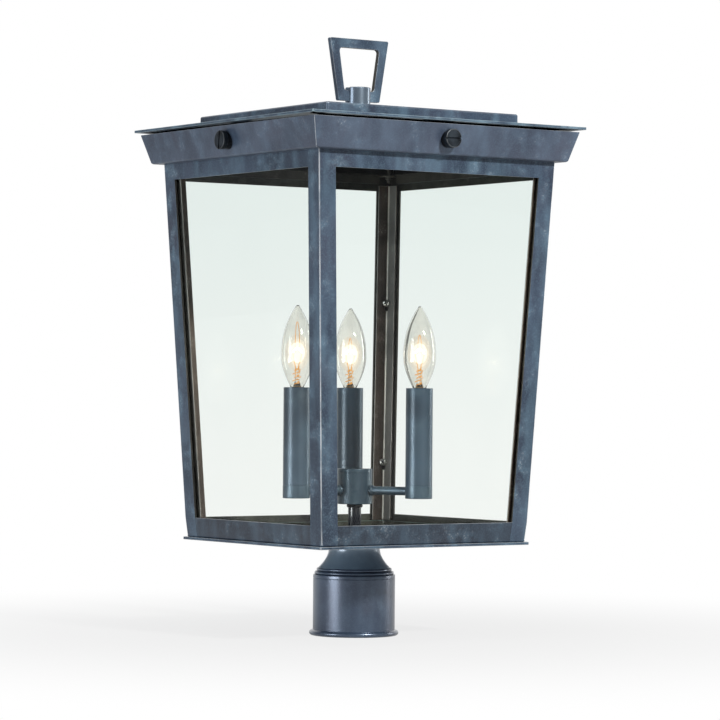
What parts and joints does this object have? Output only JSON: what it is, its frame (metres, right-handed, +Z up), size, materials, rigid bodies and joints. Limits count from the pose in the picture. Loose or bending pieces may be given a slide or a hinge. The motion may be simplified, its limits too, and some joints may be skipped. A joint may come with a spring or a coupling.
{
  "type": "post top lantern",
  "caption": "Square tapered post top lantern with a glazed metal cage, candle lamps on a hub, a lift-off lid with a loop finial and a round fitter that slips over a post.",
  "frame": {"origin": "centre of the fitter mouth, on the plane of its bottom lip", "axes": "+Z up along the post and the fitter; -Y out of the front pane, +X out of the right pane; the finial loop lies in the XZ plane"},
  "size_m": [0.3268, 0.3268, 0.5947],
  "materials": {
    "patina_body": "satin blue-grey patina with soft mottling",
    "dark_inner_metal": "dark satin brown-black",
    "candle_sleeve": "dark satin",
    "black_hardware": "black satin",
    "pane_glass": "clear",
    "bulb_glass": "clear, lit",
    "lamp_base_brass": "rolled brass",
    "socket_plastic": "matt black",
    "plated_steel": "zinc plated",
    "wire_sheath": "matt black"
  },
  "bodies": {
    "lantern": {"base_pan": "dark_inner_metal", "bottom_plate": "patina_body", "bottom_rail_back": "patina_body", "bottom_rail_front": "patina_body", "bottom_rail_left": "patina_body", "bottom_rail_right": "patina_body", "candle_cups": "dark_inner_metal", "candle_sleeves": "candle_sleeve", "corner_gussets": "dark_inner_metal", "corner_post_back_left": "patina_body", "corner_post_back_right": "patina_body", "corner_post_front_left": "patina_body", "corner_post_front_right": "patina_body", "fascia_back": "patina_body", "fascia_front": "patina_body", "fascia_left": "patina_body", "fascia_right": "patina_body", "glass_pane_back": "pane_glass", "glass_pane_front": "pane_glass", "glass_pane_left": "pane_glass", "glass_pane_right": "pane_glass", "glass_retainers": "dark_inner_metal", "hub_body": "dark_inner_metal", "hub_cap": "dark_inner_metal", "lamp_arms": "dark_inner_metal", "lamp_sockets": "socket_plastic", "lead_wires": "wire_sheath", "lid_studs": "dark_inner_metal", "nipple_nuts": "plated_steel", "post_fitter": "patina_body", "retainer_lugs": "dark_inner_metal", "retainer_screws": "black_hardware", "socket_straps": "plated_steel", "stem_collar": "dark_inner_metal", "stem_nipple": "plated_steel", "stem_tube": "dark_inner_metal", "thumb_bosses": "black_hardware", "top_rail_back": "patina_body", "top_rail_front": "patina_body", "top_rail_left": "patina_body", "top_rail_right": "patina_body", "wire_connectors": "wire_sheath"},
    "lid": {"roof_plate": "patina_body", "roof_tier": "patina_body", "lid_tabs": "dark_inner_metal", "finial_barrel": "patina_body", "finial_loop": "patina_body", "finial_bolt": "plated_steel"},
    "thumb_screw_front": {"thumb_screw_front": "black_hardware"},
    "thumb_screw_right": {"thumb_screw_right": "black_hardware"},
    "thumb_screw_back": {"thumb_screw_back": "black_hardware"},
    "thumb_screw_left": {"thumb_screw_left": "black_hardware"},
    "bulb_left": {"bulb_glass_left": "bulb_glass", "bulb_base_left": "lamp_base_brass"},
    "bulb_back": {"bulb_glass_back": "bulb_glass", "bulb_base_back": "lamp_base_brass"},
    "bulb_front": {"bulb_glass_front": "bulb_glass", "bulb_base_front": "lamp_base_brass"},
    "set_screw_right": {"set_screw_right": "black_hardware"},
    "set_screw_back": {"set_screw_back": "black_hardware"}
  },
  "joints": [
    {"name": "lid_lift", "type": "slide", "parent": "lantern", "child": "lid", "axis": [0, 0, 1], "range_m": [0, 0.15]},
    {"name": "thumb_screw_front_out", "type": "slide", "parent": "lantern", "child": "thumb_screw_front", "axis": [0, -1, 0], "range_m": [0, 0.01]},
    {"name": "thumb_screw_right_out", "type": "slide", "parent": "lantern", "child": "thumb_screw_right", "axis": [1, 0, 0], "range_m": [0, 0.01]},
    {"name": "thumb_screw_back_out", "type": "slide", "parent": "lantern", "child": "thumb_screw_back", "axis": [0, 1, 0], "range_m": [0, 0.01]},
    {"name": "thumb_screw_left_out", "type": "slide", "parent": "lantern", "child": "thumb_screw_left", "axis": [-1, 0, 0], "range_m": [0, 0.01]},
    {"name": "bulb_left_out", "type": "slide", "parent": "lantern", "child": "bulb_left", "axis": [0, 0, 1], "range_m": [0, 0.03]},
    {"name": "bulb_back_out", "type": "slide", "parent": "lantern", "child": "bulb_back", "axis": [0, 0, 1], "range_m": [0, 0.03]},
    {"name": "bulb_front_out", "type": "slide", "parent": "lantern", "child": "bulb_front", "axis": [0, 0, 1], "range_m": [0, 0.03]},
    {"name": "set_screw_right_in", "type": "slide", "parent": "lantern", "child": "set_screw_right", "axis": [-1, 0, 0], "range_m": [0, 0.004]},
    {"name": "set_screw_back_in", "type": "slide", "parent": "lantern", "child": "set_screw_back", "axis": [0, -1, 0], "range_m": [0, 0.004]}
  ]
}
